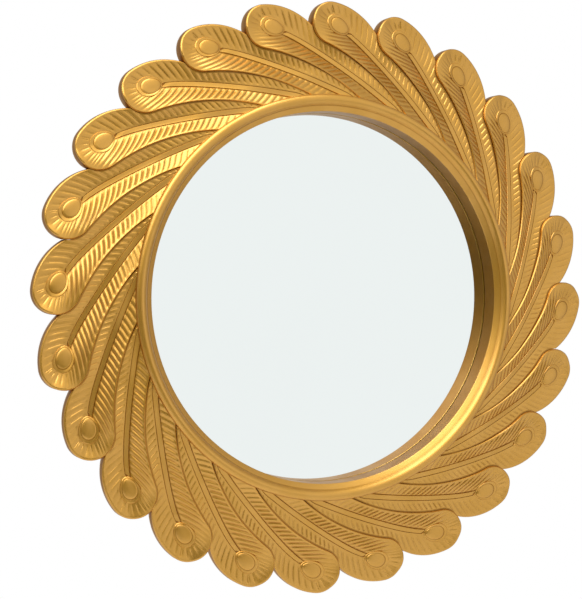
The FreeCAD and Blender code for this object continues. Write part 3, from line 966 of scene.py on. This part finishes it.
SUNK_RECESS = (6.0, 1.2, 1.5)  # span, width and depth of the blades that cut the cross
PLATE_RECESS = (4.6, 0.95, 0.8)
PIVOT_RECESS = (5.6, 1.2, 0.9)
BLADE_TAPER = (0.45, 0.7, 1.0)
SCREW_TURN = 47.0  # how much further each screw came tight than the last


def on_back(x, z, turn):
    """From a fitting's own plan to its place on the back, in metres"""
    upright = Matrix.Rotation(math.radians(-90), 4, "X") @ Matrix.Rotation(math.radians(turn), 4, "Z")
    return TO_METRES @ Matrix.Translation((x, 0, z)) @ upright


def polar(radius, angle):
    """Place on a circle round the mirror's centre"""
    return radius * math.cos(math.radians(angle)), radius * math.sin(math.radians(angle))


def sunk_outline(size, length):
    """Half outline of a screw with a sunk head, the head's edge a little rounded"""
    head, shank, cone = size
    top, tip = SUNK_TOP, SUNK_TOP - length
    return [(0, top), (head - 0.35, top), (head - 0.1, top - 0.06), (head, top - 0.2),
            (shank, top - 0.2 - cone), (shank, tip + shank), (0, tip)]


def pivot_outline():
    """Half outline of a pivot screw with a low round head"""
    return [(0, -0.2), (2.2, -0.22), (3.1, -0.36), (3.6, -0.62), (3.8, -1.0), (3.8, -1.4),
            (2.0, -1.4), (2.0, -9.0), (0, -10.0)]


def make_screw(outline, span, width, depth):
    """Screw with a cross recess in its head"""
    screw = turned(outline, steps=28, axis=(0, 0, 1))
    top = outline[0][1]
    for turn in (0, 90):
        fresh()
        bpy.ops.mesh.primitive_cube_add(size=1.0, scale=(span, width, 2 * depth))
        blade = placed()
        pick(blade, lambda place: place.z < 0)
        bpy.ops.transform.resize(value=BLADE_TAPER, center_override=(0, 0, -depth))
        bpy.ops.object.mode_set(mode="OBJECT")
        blade.data.transform(Matrix.Translation((0, 0, top)) @ Matrix.Rotation(math.radians(turn), 4, "Z"))
        work_on(screw, blade, "DIFFERENCE")
    smooth(screw, angle=30)
    return screw


def screw_groups():
    """Node of each group of screws: outline, recess and places of its screws"""
    eyes = [FIRST_EYE_ANGLE - PITCH * number for number in range(len(FEATHERS))]
    hangers = [polar(HANGER_CIRCLE, angle) for angle in HANGER_ANGLES]
    return {
        "feather_screws": (sunk_outline(SUNK_SCREW, length=19.7), SUNK_RECESS,
                           [polar(circle, eye - turn) for circle, turn in FEATHER_SCREWS for eye in eyes]),
        "ring_screws": (sunk_outline(SUNK_SCREW, length=20.7), SUNK_RECESS,
                        [polar(RING_SCREW_CIRCLE, angle) for angle in RING_SCREW_ANGLES]),
        "keyhole_plate_screws": (sunk_outline(PLATE_SCREW, length=8.0), PLATE_RECESS,
                                 [(x, z + lift) for x, z in hangers for lift in PLATE_SCREW_LIFTS]),
        "turn_button_screws": (pivot_outline(), PIVOT_RECESS,
                               [polar(BUTTON_CIRCLE, angle) for angle in BUTTON_ANGLES.values()]),
    }


class WALL_MIRROR_OT_screws(bpy.types.Operator):
    """Drives the cross-recess screws of the back, each turned to where it came tight"""
    bl_idname = "wall_mirror.screws"
    bl_label = "Screws"

    def execute(self, context):
        for node, (outline, recess, places) in screw_groups().items():
            screws = copies_of(make_screw(outline, *recess), len(places))
            for number, (screw, (x, z)) in enumerate(zip(screws, places)):
                screw.data.transform(on_back(x, z, SCREW_TURN * number))
            settle(joined(screws), "driven_" + node, BODY, "zinc plate", [node])
        return {"FINISHED"}


def make_button():
    """Pressed turn button: a bar with round ends, a pivot hole and a stiffening rib"""
    top, floor = BUTTON_LEVELS
    fresh()
    bpy.ops.mesh.primitive_circle_add(vertices=48, radius=BUTTON_HALF_WIDTH, fill_type="NGON",
                                      location=(0, 0, top))
    bar = placed()
    pick(bar, lambda place: place.x < -0.01)
    bpy.ops.transform.translate(value=(-BUTTON_REACH, 0, 0))
    bpy.ops.mesh.select_all(action="SELECT")
    bpy.ops.mesh.extrude_region_move(TRANSFORM_OT_translate={"value": (0, 0, floor - top)})
    point_outwards()
    rounded(bar, width=0.4, segments=3, angle=60)
    fresh()
    bpy.ops.mesh.primitive_uv_sphere_add(segments=32, ring_count=16, radius=1.0, location=(RIB_PLACE, 0, top),
                                         scale=RIB_HALF)
    work_on(bar, bpy.context.object, "UNION")
    fresh()
    bpy.ops.mesh.primitive_cylinder_add(vertices=32, radius=PIVOT_HOLE, depth=8.0, location=(0, 0, top))
    work_on(bar, bpy.context.object, "DIFFERENCE")
    smooth(bar, angle=35)
    return bar


class WALL_MIRROR_OT_buttons(bpy.types.Operator):
    """Presses one turn button and sets a copy on each pivot"""
    bl_idname = "wall_mirror.buttons"
    bl_label = "Turn buttons"

    def execute(self, context):
        buttons = copies_of(make_button(), len(BUTTON_ANGLES))
        for button, (node, angle) in zip(buttons, BUTTON_ANGLES.items()):
            button.data.transform(on_back(*polar(BUTTON_CIRCLE, angle), -angle))
            settle(button, "pressed_" + node, BUTTON_BODIES[node], "zinc plate", [node])
        return {"FINISHED"}


# Stage, in metres

VIEWER_PLACE = (-0.6274, -1.4911, 0.0237)
VIEWER_DIP, VIEWER_TURN = 0.919, -21.88  # degrees down, and round from square on
FLOOR_SIDE = 3.6
FLOOR_TONES = (0.82, 0.82, 0.81, 1.0), (0.86, 0.86, 0.85, 1.0)
LAMP_WAY, LAMP_DISTANCE = (-0.38, -0.46, 0.78), 2.2  # from the mirror towards the soft box
LAMP_SIZE, LAMP_LONG_SIDE = (2.7, 1.4), (0.8, 0.24, 0.55)
FRONT_WAY = (0.0, -1.0, 0.0)  # from the mirror towards the white front of the studio
DARK_WAY = (-0.50, -0.75, -0.42)  # from the mirror towards the unlit room behind and below the viewer


def set_viewer(scene, lens):
    """Camera where the photo was taken from"""
    camera = bpy.data.cameras.new("viewer")
    camera.lens = lens
    holder = bpy.data.objects.new("viewer", camera)
    bpy.context.collection.objects.link(holder)
    holder.location = VIEWER_PLACE
    holder.rotation_euler = (math.radians(90 - VIEWER_DIP), 0, math.radians(VIEWER_TURN))
    scene.camera = holder


def lay_floor(drop):
    """Pale floor under the mirror"""
    fresh()
    bpy.ops.mesh.primitive_plane_add(size=FLOOR_SIDE, location=(0, 0, -drop))
    floor = bpy.context.object
    floor.name = "floor"
    f = Finish("pale floor")
    colour = f.blend(f.noise(f.objects(), 60.0, 3.0), *FLOOR_TONES)
    floor.data.materials.append(f.surface(Base_Color=colour, Roughness=0.8))


def hang_lamp(power):
    """Soft box that shines on the mirror"""
    light = bpy.data.lights.new("key lamp", "AREA")
    light.shape = "RECTANGLE"
    light.size, light.size_y = LAMP_SIZE
    light.energy = power
    holder = bpy.data.objects.new("key lamp", light)
    bpy.context.collection.objects.link(holder)
    back = Vector(LAMP_WAY).normalized()
    across = Vector(LAMP_LONG_SIDE)
    across = (across - back * across.dot(back)).normalized()
    axes = Matrix((across, back.cross(across), back)).transposed()
    holder.matrix_world = Matrix.Translation(back * LAMP_DISTANCE) @ axes.to_4x4()


def white_studio(scene, sizes):
    """Surroundings: white where the camera sees them, dimmer at the sides and dark behind the viewer"""
    scene.world = bpy.data.worlds.new("white studio")
    scene.world.use_nodes = True
    f = Finish.on(scene.world.node_tree, "ShaderNodeOutputWorld")
    way = f.add("ShaderNodeTexCoord", output="Generated")
    walls = f.band(f.facing(way, FRONT_WAY), 0.2, 0.75, sizes.side_level, 1.0)
    dim = f.band(f.facing(way, DARK_WAY), 0.6, 0.85, 1.0, 0.05)
    seen = f.add("ShaderNodeLightPath", output="Is Camera Ray")
    mirrored = f.add("ShaderNodeLightPath", output="Is Glossy Ray")
    unseen = mirrored * walls + (1.0 - mirrored) * sizes.world_level
    strength = seen + (1.0 - seen) * dim * unseen
    f.finish(f.add("ShaderNodeBackground", None, {"Color": (1.0, 1.0, 1.0, 1.0), "Strength": strength}))


class WALL_MIRROR_OT_stage(bpy.types.Operator):
    """Sets the camera, the pale floor, the lamp and the white surroundings"""
    bl_idname = "wall_mirror.stage"
    bl_label = "Stage"

    def execute(self, context):
        scene = context.scene
        sizes = scene.mirror_stage
        set_viewer(scene, sizes.lens)
        lay_floor(sizes.floor_drop)
        hang_lamp(sizes.key_power)
        white_studio(scene, sizes)
        scene.view_settings.view_transform = "Standard"
        return {"FINISHED"}


class WALL_MIRROR_PT_panel(bpy.types.Panel):
    """Lists the pieces of the mirror"""
    bl_idname = "WALL_MIRROR_PT_panel"
    bl_label = "Feather Mirror"
    bl_space_type = "VIEW_3D"
    bl_region_type = "UI"
    bl_category = "Feather Mirror"

    def draw(self, context):
        for operator in OPERATORS:
            self.layout.operator(operator.bl_idname)


GROUPS = {"mirror_feather": FeatherSizes, "mirror_ring": RingSizes, "mirror_colours": FinishColours,
          "mirror_stage": StageSizes}
OPERATORS = (WALL_MIRROR_OT_feathers, WALL_MIRROR_OT_ring, WALL_MIRROR_OT_glass, WALL_MIRROR_OT_boards,
             WALL_MIRROR_OT_screws, WALL_MIRROR_OT_buttons, WALL_MIRROR_OT_stage)


def register():
    for name, group in GROUPS.items():
        bpy.utils.register_class(group)
        setattr(bpy.types.Scene, name, PointerProperty(type=group))
    for item in (*OPERATORS, WALL_MIRROR_PT_panel):
        bpy.utils.register_class(item)


def unregister():
    for item in (WALL_MIRROR_PT_panel, *reversed(OPERATORS)):
        bpy.utils.unregister_class(item)
    for name, group in GROUPS.items():
        delattr(bpy.types.Scene, name)
        bpy.utils.unregister_class(group)


def main():
    register()
    bpy.ops.wall_mirror.feathers()
    bpy.ops.wall_mirror.ring()
    bpy.ops.wall_mirror.glass()
    bpy.ops.wall_mirror.boards()
    bpy.ops.wall_mirror.screws()
    bpy.ops.wall_mirror.buttons()
    bpy.ops.wall_mirror.stage()


if __name__ == "__main__":
    main()
